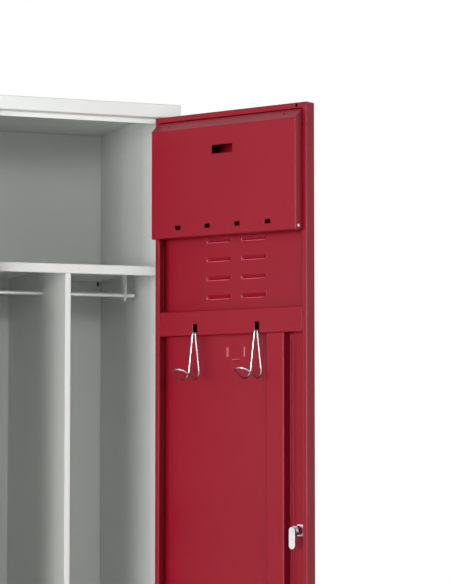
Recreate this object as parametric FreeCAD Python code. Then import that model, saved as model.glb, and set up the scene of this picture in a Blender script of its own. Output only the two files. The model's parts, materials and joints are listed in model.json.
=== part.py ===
import FreeCAD, Part
import math
import os

# Tall sheet-steel locker with one pivoting door, shown with the door open.
# Frame: origin at the middle of the footprint on the floor, +X to the viewer's
# right, +Y to the back, +Z up. The door is drawn closed and then swung open.

Vector = FreeCAD.Vector

# Carcass
WIDTH = 424.0
DEPTH = 500.0
HEIGHT = 1800.0
SHEET = 1.0                  # thickness of every folded sheet
BEND = 1.0                   # inner radius of a fold
JAMB = 20.0                  # face of each side jamb
FASCIA = 27.5                # face of the roof fascia and of the sill
SIDE_STOP = 9.0              # side lip that the closed door lies in front of
END_STOP = 9.5               # the same lip under the fascia and on the sill
REAR_FLANGE = 20.0
EDGE_FLANGE = 15.0           # flange that joins the roof and floor to the walls
PANEL_GAP = 0.2              # between the ends of folds that meet
PLINTH_HEIGHT = 80.0
PLINTH_SHEET = 1.5
PLINTH_FLANGE = 20.0
PLINTH_FRONT_INSET = 25.0
PLINTH_SIDE_INSET = 5.0
WALL_HOLE = 9.0              # holes that fix the back to a wall
WALL_HOLE_FROM_SIDE = 65.0
WALL_HOLE_ABOVE_SHELF = 21.0
WALL_HOLE_ABOVE_PLINTH = 57.0
CORNER_SLOT_WIDTH = 5.0      # tall slots in the rear corners under the shelf, backed by the side flange
CORNER_SLOT_HEIGHT = 10.0
CORNER_SLOT_FROM_WALL = 5.0

# Shelf, coat rail and divider
SHELF_FROM_TOP = 324.0
SHELF_SETBACK = 60.0
SHELF_LIP = 19.0
SHELF_SIDE_FLANGE = 8.0
SHELF_HEM = 12.0
RAIL_DIAMETER = 9.0
RAIL_BELOW_SHELF = 47.5
RAIL_END_GAP = 10.0
HANGER_WIDTH = 25.0
HANGER_SHEET = 2.0
HANGER_FROM_WALL = 33.0
HANGER_FLANGE = 16.0
DIVIDER_RETURN = 12.0        # fold along the divider's front edge
DIVIDER_FLANGE = 15.0        # flange that joins the divider to the back
FIT = 0.05                   # radial clearance of a pin in its hole

# Door pan
DOOR_OPEN = 120.0            # degrees from closed
DOOR_THICKNESS = 26.0
DOOR_FLANGE = 11.0
DOOR_LIP = 8.0
TOP_GAP = 2.5
STOP_GAP = 2.0               # closed door to the lips behind it
SIDE_GAP = 3.0
OPEN_CLEARANCE = 2.0         # open door to the corner of the jamb
HANGING_HOLE = (5.0, 6.0)
HANGING_HOLE_FROM_FREE = 24.0

# Pivots
PIN_DIAMETER = 5.0
PIN_HEAD_RIM = 1.5
PIN_HEAD = 3.0
PIN_REACH = 8.0              # past the fold that the bush sits in
BUSH_WALL = 1.5
BUSH_RIM = 1.5
BUSH_TUBE = 4.0

# Louvres and card holder pressed out of the door
LOUVRE_LENGTH = 63.0
LOUVRE_HEIGHT = 9.0
LOUVRE_DEPTH = 5.0
LOUVRE_ROWS = 4
LOUVRE_COLUMNS = 2
LOUVRE_ROW_PITCH = 37.5
LOUVRE_COLUMN_PITCH = 87.3
LOUVRE_FROM_TOP = 257.0
LOUVRE_FROM_BOTTOM = 150.0
PRESSED_FROM_MIDDLE = 2.0    # louvres and lances lie this far towards the hinge
CARD_WIDTH = 40.0
CARD_FROM_TOP = 486.0
LANCE_LENGTH = 23.0
LANCE_BOTTOM_LENGTH = 21.0
LANCE_BELOW_CARD = 3.5
LANCE_HEIGHT = 4.0
LANCE_DEPTH = 2.0

# Shallow tray over the top of the door
TRAY_FROM_TOP = 12.0
TRAY_HEIGHT = 235.0
TRAY_BEVEL = 20.0
TRAY_DEPTH = 23.0
FINGER_HOLE = (51.0, 17.0)
FINGER_HOLE_FROM_TOP = 57.5
TRAY_SLOT = (13.4, 8.4)
TRAY_SLOT_PITCH = 74.6
TRAY_SLOT_COUNT = 4
TRAY_SLOT_FROM_BOTTOM = 19.2
TRAY_SCREW_FROM_BOTTOM = 8.0
TRAY_SCREW_FROM_FACE = 9.0
TRAY_RIVET_FROM_EDGE = 37.0
SCREW_SHANK = 3.5
SCREW_HEAD = 7.0
SCREW_HEAD_HEIGHT = 1.4
SCREW_LENGTH = 6.0
RIVET_HEAD = 6.0
RIVET_HEAD_HEIGHT = 1.2
RIVET_SHANK = 3.2
RIVET_LENGTH = 3.0

# Hook rail, hooks and stiffener
HOOK_RAIL_FROM_TOP = 392.0
HOOK_RAIL_HEIGHT = 49.0
HOOK_SLOT = (10.4, 19.4)
HOOK_SLOT_FROM_BOTTOM = 3.0
HOOK_FROM_HINGE = 103.2
HOOK_FROM_FREE = 120.6
WIRE = 4.0
WIRE_SIDES = 8
WIRE_BEND_CHORDS = 5         # straight steps in each bend of the wire
WIRE_GAP = 0.3
HOOK_DROP = 107.0            # from the slot to the corner of the curl
HOOK_REACH = 55.0
HOOK_WIDTH = 33.0
HOOK_RISE = 31.0             # degrees that the curl climbs
HOOK_CURL = 18.0
HOOK_TIP_ROUND = 0.94        # part of the half width that the tip's corners take
HOOK_TAIL = 10.0
HOOK_TAIL_DEPTH = 7.5
HOOK_BEND = 3.0
STIFFENER_WIDTH = 42.5
STIFFENER_FROM_FREE = 58.0
STIFFENER_RECESS = 3.0
STIFFENER_FOOT = 8.0

# Cam lock
LOCK_FROM_BOTTOM = 840.0
LOCK_FROM_FREE = 33.0
LOCK_BODY = 18.0
LOCK_FACE = 24.0
LOCK_FACE_HEIGHT = 2.5
LOCK_PLUG = 12.0
LOCK_NUT = 22.0
LOCK_NUT_HEIGHT = 4.0
LOCK_BODY_SHORT = 4.0        # the body ends this far inside the door
KEY_SLOT = (1.6, 7.0, 6.0)
CAM_WIDTH = 14.0
CAM_SHEET = 2.0
CAM_REACH = 35.0
CAM_CLEARANCE = 0.5
CAM_SCREW = 4.0
CAM_SCREW_HEAD = 8.0
CAM_SCREW_HEAD_HEIGHT = 2.0

# Bumpers
BUMPER = 7.0
BUMPER_FROM_END = 42.0
BUMPER_STEM = 3.0
BUMPER_CLEARANCE = 0.3

# Values that follow from the sizes above
OUTER_BEND = BEND + SHEET
FRONT = -DEPTH / 2
BACK = DEPTH / 2
RIGHT = WIDTH / 2
INSIDE = RIGHT - SHEET
OPENING_TOP = HEIGHT - FASCIA
OPENING_BOTTOM = PLINTH_HEIGHT + FASCIA
MIDDLE = (HEIGHT + PLINTH_HEIGHT) / 2
STOP_FACE = FRONT + DOOR_THICKNESS + STOP_GAP
PIVOT_INSET = SHEET + BEND + PIN_DIAMETER / 2 + PIN_HEAD_RIM
OPEN_ANGLE = math.radians(DOOR_OPEN)
CORNER_REACH = PIVOT_INSET + OUTER_BEND + OPEN_CLEARANCE
CORNER_REACH -= (PIVOT_INSET - OUTER_BEND) * math.cos(OPEN_ANGLE)
PIVOT_FROM_EDGE = max(PIVOT_INSET, CORNER_REACH / math.sin(OPEN_ANGLE) - SIDE_GAP - OUTER_BEND)
HINGE_EDGE = RIGHT - JAMB - SIDE_GAP
DOOR_WIDTH = 2 * HINGE_EDGE
DOOR_TOP = OPENING_TOP - TOP_GAP
DOOR_BOTTOM = OPENING_BOTTOM + TOP_GAP
PIVOT = Vector(HINGE_EDGE - PIVOT_FROM_EDGE, FRONT + PIVOT_INSET, 0)
SHELF_TOP = HEIGHT - SHELF_FROM_TOP
RAIL_AXIS = SHELF_TOP - RAIL_BELOW_SHELF
HOOK_RAIL_TOP = DOOR_TOP - HOOK_RAIL_FROM_TOP
HOOK_RAIL_BOTTOM = HOOK_RAIL_TOP - HOOK_RAIL_HEIGHT
HOOK_SLOT_BOTTOM = HOOK_RAIL_BOTTOM + HOOK_SLOT_FROM_BOTTOM
LOCK_ACROSS = DOOR_WIDTH - LOCK_FROM_FREE
LOCK_HEIGHT = DOOR_BOTTOM + LOCK_FROM_BOTTOM
CAM_FRONT = DOOR_THICKNESS + STOP_GAP + SHEET + CAM_CLEARANCE
UP = Vector(0, 0, 1)
INTO_DOOR = Vector(0, 1, 0)


def box(low, high):
    """A box between two corners given as (x, y, z)."""
    size = Vector(*high) - Vector(*low)
    return Part.makeBox(size.x, size.y, size.z, Vector(*low))


def on_door(across, inward, height):
    """A point of the closed door: from its hinge edge, from its outer face, above the floor."""
    return Vector(HINGE_EDGE - across, FRONT + inward, height)


def door_box(across, inward, height):
    """A box on the closed door from three (start, end) pairs."""
    low = on_door(across[1], inward[0], height[0])
    high = on_door(across[0], inward[1], height[1])
    return box(low, high)


def rounded_path(points, radii):
    """Edges along a polyline, with each inner corner turned into a tangent arc."""
    edges = []
    start = points[0]
    for before, corner, after, radius in zip(points, points[1:], points[2:], radii):
        back = (before - corner).normalize()
        ahead = (after - corner).normalize()
        half = back.getAngle(ahead) / 2
        reach = radius / math.tan(half)
        inward = (back + ahead).normalize()
        leave = corner + back * reach
        rejoin = corner + ahead * reach
        crown = corner + inward * (radius / math.sin(half) - radius)
        edges.append(Part.makeLine(start, leave))
        edges.append(Part.Arc(leave, crown, rejoin).toShape())
        start = rejoin
    edges.append(Part.makeLine(start, points[-1]))
    return edges


def folded_sheet(points, run, thickness=SHEET):
    """A sheet folded along the points of its show face, on the right of travel, drawn out along run."""
    axis = Vector(run).normalize()
    steps = [(b - a).normalize() for a, b in zip(points, points[1:])]
    sides = [step.cross(axis) for step in steps]
    hidden = [points[0] + sides[0] * thickness]
    show_radii = []
    hidden_radii = []
    for corner, first, second, step in zip(points[1:], sides, sides[1:], steps):
        hidden.append(corner + (first + second) * (thickness / (1 + first.dot(second))))
        turns_to_hidden = step.dot(second) < 0
        show_radii.append(BEND + thickness if turns_to_hidden else BEND)
        hidden_radii.append(BEND if turns_to_hidden else BEND + thickness)
    hidden.append(points[-1] + sides[-1] * thickness)
    edges = rounded_path(points, show_radii) + rounded_path(hidden, hidden_radii)
    edges.append(Part.makeLine(points[0], hidden[0]))
    edges.append(Part.makeLine(points[-1], hidden[-1]))
    outline = Part.Wire(Part.__sortEdges__(edges))
    return Part.Face(outline).extrude(run)


def cylinder(diameter, length, start, direction):
    """A solid cylinder from a start point along a direction."""
    return Part.makeCylinder(diameter / 2, length, start, direction)


def cut_all(shape, tools):
    """The shape with every tool taken away."""
    return shape.cut(Part.Compound(tools))


def both_sides(shape):
    """A shape and its mirror image across the locker's middle plane."""
    return [shape, shape.mirror(Vector(0, 0, 0), Vector(1, 0, 0))]


def swing_open(shape):
    """A piece of the closed door turned to where the open door holds it."""
    opened = shape.copy()
    opened.rotate(PIVOT, UP, DOOR_OPEN)
    return opened


def base_plinth():
    """Welded ring that the carcass stands on, flanged inwards at floor and top."""
    x = RIGHT - PLINTH_SIDE_INSET
    front = FRONT + PLINTH_FRONT_INSET
    back = BACK - PLINTH_SIDE_INSET
    wall = PLINTH_SHEET
    ring = box((-x, front, 0), (x, back, PLINTH_HEIGHT))
    hollow = box((wall - x, front + wall, wall), (x - wall, back - wall, PLINTH_HEIGHT - wall))
    flange = PLINTH_FLANGE
    way_through = box((flange - x, front + flange, 0), (x - flange, back - flange, PLINTH_HEIGHT))
    return cut_all(ring, [hollow, way_through])


def roof_panel():
    """Roof sheet with fascia, return and stop lip in front and joining flanges behind and at the sides."""
    left = -RIGHT
    section = [
        Vector(left, STOP_FACE, OPENING_TOP - END_STOP),
        Vector(left, STOP_FACE, OPENING_TOP),
        Vector(left, FRONT, OPENING_TOP),
        Vector(left, FRONT, HEIGHT),
        Vector(left, BACK, HEIGHT),
        Vector(left, BACK, HEIGHT - EDGE_FLANGE),
    ]
    panel = folded_sheet(section, Vector(WIDTH, 0, 0))
    behind_face = FRONT + OUTER_BEND
    beside_wall = box((INSIDE, behind_face, 0), (RIGHT, BACK, HEIGHT - SHEET))
    stop_end = RIGHT - JAMB - SIDE_STOP - PANEL_GAP
    beside_jamb = box((stop_end, FRONT, 0), (RIGHT, 0, OPENING_TOP))
    flange_end = RIGHT - REAR_FLANGE - PANEL_GAP
    beside_flange = box((flange_end, BACK - OUTER_BEND, 0), (RIGHT, BACK, HEIGHT - SHEET))
    trims = both_sides(beside_wall) + both_sides(beside_jamb) + both_sides(beside_flange)
    panel = cut_all(panel, trims)
    flange_front = STOP_FACE + OUTER_BEND
    side_flange = box(
        (INSIDE - SHEET, flange_front, HEIGHT - EDGE_FLANGE),
        (INSIDE, BACK - REAR_FLANGE, HEIGHT - SHEET / 2),
    )
    panel = panel.fuse(both_sides(side_flange)).removeSplitter()
    bush_hole = PIN_DIAMETER + 2 * BUSH_WALL + 2 * FIT
    start = Vector(PIVOT.x, PIVOT.y, OPENING_TOP - SHEET)
    return panel.cut(cylinder(bush_hole, 3 * SHEET, start, UP))


def floor_pan():
    """The roof's mirror image at the bottom, with a sill in front."""
    return roof_panel().mirror(Vector(0, 0, MIDDLE), UP)


def corner_slot():
    """Cutter for the tall slot in the right rear corner under the shelf."""
    right = INSIDE - CORNER_SLOT_FROM_WALL
    top = SHELF_TOP - SHEET - BEND
    return box(
        (right - CORNER_SLOT_WIDTH, BACK - 4 * SHEET, top - CORNER_SLOT_HEIGHT),
        (right, BACK + SHEET, top),
    )


def right_side_panel():
    """Side sheet with jamb, return and stop lip folded in front and a flange behind."""
    top = HEIGHT - SHEET
    bottom = PLINTH_HEIGHT + SHEET
    opening = RIGHT - JAMB
    section = [
        Vector(opening - SIDE_STOP, STOP_FACE, top),
        Vector(opening, STOP_FACE, top),
        Vector(opening, FRONT, top),
        Vector(RIGHT, FRONT, top),
        Vector(RIGHT, BACK, top),
        Vector(RIGHT - REAR_FLANGE, BACK, top),
    ]
    panel = folded_sheet(section, Vector(0, 0, bottom - top))
    jamb_top = OPENING_TOP - PANEL_GAP
    face = box((0, FRONT, jamb_top), (RIGHT, FRONT + OUTER_BEND, HEIGHT))
    folds = box((0, FRONT, jamb_top), (INSIDE, 0, HEIGHT))
    upper = [face, folds]
    lower = [trim.mirror(Vector(0, 0, MIDDLE), UP) for trim in upper]
    return cut_all(panel, upper + lower)


def left_side_panel():
    """Mirror image of the right side panel."""
    return both_sides(right_side_panel())[1]


def back_panel():
    """Flat back in front of the rear flanges, with wall-fixing holes and corner slots."""
    front = BACK - 2 * SHEET
    bottom = PLINTH_HEIGHT + OUTER_BEND
    top = HEIGHT - OUTER_BEND
    side = RIGHT - OUTER_BEND
    sheet = box((-side, front, bottom), (side, BACK - SHEET, top))
    across = RIGHT - WALL_HOLE_FROM_SIDE
    heights = (PLINTH_HEIGHT + WALL_HOLE_ABOVE_PLINTH, SHELF_TOP + WALL_HOLE_ABOVE_SHELF)
    holes = []
    for height in heights:
        hole = cylinder(WALL_HOLE, 3 * SHEET, Vector(across, front - SHEET, height), INTO_DOOR)
        holes += both_sides(hole)
    return cut_all(sheet, holes + both_sides(corner_slot()))


def shelf():
    """Shelf sheet with a hemmed front lip, a rear lip and short side flanges against the walls."""
    front = FRONT + SHELF_SETBACK
    back = BACK - 2 * SHEET
    bottom = SHELF_TOP - SHELF_LIP
    section = [
        Vector(-INSIDE, front + SHELF_HEM, bottom),
        Vector(-INSIDE, front, bottom),
        Vector(-INSIDE, front, SHELF_TOP),
        Vector(-INSIDE, back, SHELF_TOP),
        Vector(-INSIDE, back, bottom),
    ]
    tray = folded_sheet(section, Vector(2 * INSIDE, 0, 0))
    side_flange = box(
        (INSIDE - SHEET, front + OUTER_BEND, SHELF_TOP - SHELF_SIDE_FLANGE),
        (INSIDE, back - OUTER_BEND, SHELF_TOP - SHEET / 2),
    )
    shape = tray.fuse(both_sides(side_flange)).removeSplitter()
    return cut_all(shape, both_sides(corner_slot()))


def divider():
    """Upright sheet in the middle under the shelf, notched round its lips, that the rail passes through."""
    front = FRONT + SHELF_SETBACK
    back = BACK - 2 * SHEET
    top = SHELF_TOP - SHEET
    bottom = PLINTH_HEIGHT + SHEET
    section = [
        Vector(-DIVIDER_RETURN, front, top),
        Vector(0, front, top),
        Vector(0, back, top),
        Vector(-DIVIDER_FLANGE, back, top),
    ]
    sheet = folded_sheet(section, Vector(0, 0, bottom - top))
    lips = SHELF_TOP - SHELF_LIP - PANEL_GAP
    side = max(DIVIDER_RETURN, DIVIDER_FLANGE) + SHEET
    front_notch = box((-side, FRONT, lips), (side, front + SHELF_HEM + PANEL_GAP, SHELF_TOP))
    rear_notch = box((-side, back - OUTER_BEND - PANEL_GAP, lips), (side, BACK, SHELF_TOP))
    across = Vector(1, 0, 0)
    rail_hole = cylinder(RAIL_DIAMETER + 2 * FIT, 4 * SHEET, Vector(-2 * SHEET, 0, RAIL_AXIS), across)
    return cut_all(sheet, [front_notch, rear_notch, rail_hole])


def coat_rail():
    """Round bar under the shelf, from side to side."""
    end = INSIDE - RAIL_END_GAP
    return cylinder(RAIL_DIAMETER, 2 * end, Vector(-end, 0, RAIL_AXIS), Vector(1, 0, 0))


def right_rail_hanger():
    """Angle under the shelf with a rounded leg that the rail passes through."""
    inner = INSIDE - HANGER_FROM_WALL
    top = SHELF_TOP - SHEET
    half = HANGER_WIDTH / 2
    section = [
        Vector(inner + HANGER_FLANGE, -half, top),
        Vector(inner, -half, top),
        Vector(inner, -half, RAIL_AXIS),
    ]
    angle = folded_sheet(section, Vector(0, HANGER_WIDTH, 0), HANGER_SHEET)
    rounded_end = cylinder(HANGER_WIDTH, HANGER_SHEET, Vector(inner, 0, RAIL_AXIS), Vector(1, 0, 0))
    hole = cylinder(
        RAIL_DIAMETER + 2 * FIT,
        3 * HANGER_SHEET,
        Vector(inner - HANGER_SHEET, 0, RAIL_AXIS),
        Vector(1, 0, 0),
    )
    return angle.fuse(rounded_end).removeSplitter().cut(hole)


def left_rail_hanger():
    """Mirror image of the right rail hanger."""
    return both_sides(right_rail_hanger())[1]


def pivot_bush(rim_height):
    """Flanged bush under the fold that it sits in, before it is moved to its height."""
    bore = PIN_DIAMETER + 2 * FIT
    tube = PIN_DIAMETER + 2 * BUSH_WALL
    rim = tube + 2 * BUSH_RIM
    base = Vector(PIVOT.x, PIVOT.y, -rim_height)
    solid = cylinder(rim, rim_height, base, UP).fuse(cylinder(tube, rim_height + BUSH_TUBE, base, UP))
    return solid.removeSplitter().cut(cylinder(bore, rim_height + BUSH_TUBE, base, UP))


def upper_pivot_bush():
    """Bush in the fold behind the fascia, round the door's upper pin."""
    bush = pivot_bush(TOP_GAP / 2)
    bush.translate(Vector(0, 0, OPENING_TOP))
    return bush


def lower_pivot_bush():
    """Bush in the sill, whose rim carries the door."""
    bush = pivot_bush(TOP_GAP - 2 * FIT)
    bush.translate(Vector(0, 0, OPENING_TOP))
    return bush.mirror(Vector(0, 0, MIDDLE), UP)


def scoop(length, height, depth, start):
    """A louvre's form: a ramp open below, with mitred ends, outwards from y = start."""
    half = length / 2
    plan = [(-half, 0), (depth - half, -depth), (half - depth, -depth), (half, 0)]
    foot = [Vector(x, y, 0) for x, y in plan]
    block = Part.Face(Part.makePolygon(foot + foot[:1])).extrude(UP * height)
    slope = [Vector(-half, 0, 0), Vector(-half, -depth, 0), Vector(-half, 0, height)]
    ramp = Part.Face(Part.makePolygon(slope + slope[:1])).extrude(Vector(length, 0, 0))
    form = block.common(ramp)
    form.translate(Vector(0, start, 0))
    return form


def press_louvre(length, height, depth, place, turn):
    """A pressed louvre as (metal to add, space to take away), turned in the door's plane."""
    metal = scoop(length, height, depth, 0)
    space = scoop(length - 2 * SHEET, height, depth, SHEET)
    for shape in (metal, space):
        shape.rotate(Vector(0, 0, 0), INTO_DOOR, turn)
        shape.translate(place)
    return metal, space


def louvre_places():
    """Slit centres of the upper and lower louvre groups."""
    middle = DOOR_WIDTH / 2 - PRESSED_FROM_MIDDLE
    lowest = DOOR_BOTTOM + LOUVRE_FROM_BOTTOM
    highest = DOOR_TOP - LOUVRE_FROM_TOP
    places = []
    for row in range(LOUVRE_ROWS):
        for column in range(LOUVRE_COLUMNS):
            across = middle + (column - (LOUVRE_COLUMNS - 1) / 2) * LOUVRE_COLUMN_PITCH
            places.append(on_door(across, 0, highest - row * LOUVRE_ROW_PITCH))
            places.append(on_door(across, 0, lowest + row * LOUVRE_ROW_PITCH))
    return places


def card_lances():
    """Three small lances that hold a name card on the outside, slits towards the card."""
    middle = DOOR_WIDTH / 2 - PRESSED_FROM_MIDDLE
    foot = DOOR_TOP - CARD_FROM_TOP
    side = foot + LANCE_LENGTH / 2
    half = CARD_WIDTH / 2
    hinge_side = on_door(middle - half, 0, side)
    free_side = on_door(middle + half, 0, side)
    bottom = on_door(middle, 0, foot - LANCE_BELOW_CARD)
    return [
        press_louvre(LANCE_LENGTH, LANCE_HEIGHT, LANCE_DEPTH, hinge_side, 90),
        press_louvre(LANCE_LENGTH, LANCE_HEIGHT, LANCE_DEPTH, free_side, -90),
        press_louvre(LANCE_BOTTOM_LENGTH, LANCE_HEIGHT, LANCE_DEPTH, bottom, 180),
    ]


def door_pan():
    """Closed pan with its long edges rounded, inward flanges all round and lips on its long sides."""
    width = (0, DOOR_WIDTH)
    depth = (0, DOOR_THICKNESS)
    height = (DOOR_BOTTOM, DOOR_TOP)
    outer = door_box(width, depth, height)
    outer = outer.makeFillet(OUTER_BEND, upright_edges(outer))
    inner = door_box(
        (SHEET, DOOR_WIDTH - SHEET),
        (SHEET, DOOR_THICKNESS - SHEET),
        (DOOR_BOTTOM + SHEET, DOOR_TOP - SHEET),
    )
    inner = inner.makeFillet(BEND, upright_edges(inner))
    window = door_box(
        (DOOR_FLANGE, DOOR_WIDTH - DOOR_FLANGE),
        (DOOR_THICKNESS / 2, DOOR_THICKNESS),
        (DOOR_BOTTOM + DOOR_FLANGE, DOOR_TOP - DOOR_FLANGE),
    )
    pan = cut_all(outer, [inner, window])
    lip = door_box(
        (DOOR_FLANGE - SHEET, DOOR_FLANGE),
        (DOOR_THICKNESS - DOOR_LIP, DOOR_THICKNESS),
        (DOOR_BOTTOM + DOOR_FLANGE, DOOR_TOP - DOOR_FLANGE),
    )
    pan = pan.fuse(both_sides(lip)).removeSplitter()
    show_edges = [edge for edge in pan.Edges if is_lip_edge(edge)]
    return pan.makeFillet(SHEET * 0.8, show_edges)


def upright_edges(block):
    """The edges of a block that run straight up."""
    return [edge for edge in block.Edges if edge.BoundBox.ZLength > block.BoundBox.ZLength / 2]


def is_lip_edge(edge):
    """Whether an edge is the fold between a side flange and its lip."""
    low = edge.BoundBox
    upright = low.ZLength > DOOR_TOP - DOOR_BOTTOM - 3 * DOOR_FLANGE
    at_fold = abs(abs(low.Center.x) - (HINGE_EDGE - DOOR_FLANGE)) < SHEET / 4
    on_face = abs(low.Center.y - FRONT - DOOR_THICKNESS) < SHEET / 4
    return upright and at_fold and on_face


def door_skin():
    """The door's pan with louvres, lances, pivot holes, lock hole and hanging hole."""
    pan = door_pan()
    pressings = [
        press_louvre(LOUVRE_LENGTH, LOUVRE_HEIGHT, LOUVRE_DEPTH, place, 0) for place in louvre_places()
    ]
    pressings += card_lances()
    pan = pan.fuse([metal for metal, space in pressings])
    holes = [space for metal, space in pressings]
    for height in (DOOR_BOTTOM, DOOR_TOP):
        start = Vector(PIVOT.x, PIVOT.y, height - 2 * SHEET)
        holes.append(cylinder(PIN_DIAMETER + 2 * FIT, 4 * SHEET, start, UP))
    lock_start = on_door(LOCK_ACROSS, -SHEET, LOCK_HEIGHT)
    holes.append(cylinder(LOCK_BODY + 2 * FIT, 3 * SHEET, lock_start, INTO_DOOR))
    for bumper in bumper_places():
        holes.append(cylinder(BUMPER_STEM + 2 * FIT, 4 * SHEET, bumper - INTO_DOOR * 2 * SHEET, INTO_DOOR))
    across = DOOR_WIDTH - HANGING_HOLE_FROM_FREE
    top = DOOR_TOP - OUTER_BEND
    holes.append(
        door_box(
            (across - HANGING_HOLE[0] / 2, across + HANGING_HOLE[0] / 2),
            (DOOR_THICKNESS - 2 * SHEET, DOOR_THICKNESS + SHEET),
            (top - HANGING_HOLE[1], top),
        )
    )
    return cut_all(pan, holes)


def tray_edges():
    """Across and height limits of the tray on the door."""
    margin = DOOR_FLANGE - 2 * SHEET
    top = DOOR_TOP - TRAY_FROM_TOP
    return margin, DOOR_WIDTH - margin, top - TRAY_HEIGHT, top


def tray_screw_places():
    """Where the tray's side screws meet its two walls, as (point, way in)."""
    near, far, bottom, top = tray_edges()
    inward = DOOR_THICKNESS + TRAY_DEPTH - TRAY_SCREW_FROM_FACE
    height = bottom + TRAY_SCREW_FROM_BOTTOM
    toward_hinge = Vector(1, 0, 0)
    return [
        (on_door(near, inward, height), -toward_hinge),
        (on_door(far, inward, height), toward_hinge),
    ]


def tray_rivet_places():
    """Where the tray's rivets meet its bevel, as (point, way in)."""
    near, far, bottom, top = tray_edges()
    slope = Vector(0, -TRAY_BEVEL, -TRAY_DEPTH).normalize()
    inward = DOOR_THICKNESS + TRAY_DEPTH / 2
    height = top - TRAY_BEVEL / 2
    places = []
    for across in (near + TRAY_RIVET_FROM_EDGE, far - TRAY_RIVET_FROM_EDGE):
        places.append((on_door(across, inward, height), slope))
    return places


def upper_tray_panel():
    """Shallow box on the door's flanges, bevelled at its top, with a finger hole and a row of slots."""
    near, far, bottom, top = tray_edges()
    back = DOOR_THICKNESS
    face = DOOR_THICKNESS + TRAY_DEPTH
    corners = [(back, bottom), (face, bottom), (face, top - TRAY_BEVEL), (back, top)]
    points = [on_door(far, inward, height) for inward, height in corners]
    block = Part.Face(Part.makePolygon(points + points[:1])).extrude(Vector(far - near, 0, 0))
    rear_y = FRONT + back
    folds = [edge for edge in block.Edges if edge.BoundBox.YMin > rear_y + SHEET]
    block = block.makeFillet(OUTER_BEND, folds)
    open_back = [f for f in block.Faces if f.BoundBox.YMax < rear_y + SHEET / 10]
    tray = block.makeThickness(open_back, -SHEET, 1e-4)
    middle = DOOR_WIDTH / 2
    cutters = []
    hole_top = top - FINGER_HOLE_FROM_TOP
    cutters.append(tray_cutter(middle, hole_top - FINGER_HOLE[1] / 2, FINGER_HOLE))
    for index in range(TRAY_SLOT_COUNT):
        across = middle + (index - (TRAY_SLOT_COUNT - 1) / 2) * TRAY_SLOT_PITCH
        cutters.append(tray_cutter(across, bottom + TRAY_SLOT_FROM_BOTTOM, TRAY_SLOT))
    for point, way_in in tray_screw_places():
        cutters.append(cylinder(SCREW_SHANK + 2 * FIT, 4 * SHEET, point - way_in * 2 * SHEET, way_in))
    for point, way_in in tray_rivet_places():
        cutters.append(cylinder(RIVET_SHANK + 2 * FIT, 4 * SHEET, point - way_in * 2 * SHEET, way_in))
    return cut_all(tray, cutters)


def tray_cutter(across, height, size):
    """Cutter for a rectangular hole in the tray's face."""
    face = DOOR_THICKNESS + TRAY_DEPTH
    return door_box(
        (across - size[0] / 2, across + size[0] / 2),
        (face - 2 * SHEET, face + SHEET),
        (height - size[1] / 2, height + size[1] / 2),
    )


def headed_pin(point, way_in, head, head_height, shank, length):
    """A fastener with a low head on the surface and a shank into it."""
    top = cylinder(head, head_height, point, -way_in)
    return top.fuse(cylinder(shank, length, point, way_in)).removeSplitter()


def tray_screws():
    """Screws in the tray's side walls."""
    sizes = (SCREW_HEAD, SCREW_HEAD_HEIGHT, SCREW_SHANK, SCREW_LENGTH)
    return Part.Compound([headed_pin(point, way_in, *sizes) for point, way_in in tray_screw_places()])


def tray_rivets():
    """Rivets through the tray's bevel."""
    sizes = (RIVET_HEAD, RIVET_HEAD_HEIGHT, RIVET_SHANK, RIVET_LENGTH)
    return Part.Compound([headed_pin(point, way_in, *sizes) for point, way_in in tray_rivet_places()])


def hook_places():
    """Distance of each hook's middle from the hinge edge."""
    return HOOK_FROM_HINGE, DOOR_WIDTH - HOOK_FROM_FREE


def hook_rail():
    """Channel between the door's lips, flush with the flanges, with a slot for each hook."""
    far = DOOR_WIDTH - DOOR_FLANGE
    section = [
        on_door(far, SHEET, HOOK_RAIL_TOP),
        on_door(far, DOOR_THICKNESS, HOOK_RAIL_TOP),
        on_door(far, DOOR_THICKNESS, HOOK_RAIL_BOTTOM),
        on_door(far, SHEET, HOOK_RAIL_BOTTOM),
    ]
    channel = folded_sheet(section, Vector(DOOR_WIDTH - 2 * DOOR_FLANGE, 0, 0))
    slots = []
    for across in hook_places():
        slots.append(
            door_box(
                (across - HOOK_SLOT[0] / 2, across + HOOK_SLOT[0] / 2),
                (DOOR_THICKNESS - 2 * SHEET, DOOR_THICKNESS + SHEET),
                (HOOK_SLOT_BOTTOM, HOOK_SLOT_BOTTOM + HOOK_SLOT[1]),
            )
        )
    return cut_all(channel, slots)


def wire_section(centre):
    """Many-sided outline of the hook wire, square to the door's width."""
    corners = []
    for side in range(WIRE_SIDES + 1):
        angle = 2 * math.pi * side / WIRE_SIDES
        corners.append(centre + Vector(0, math.cos(angle), math.sin(angle)) * (WIRE / 2))
    return Part.makePolygon(corners)


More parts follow.
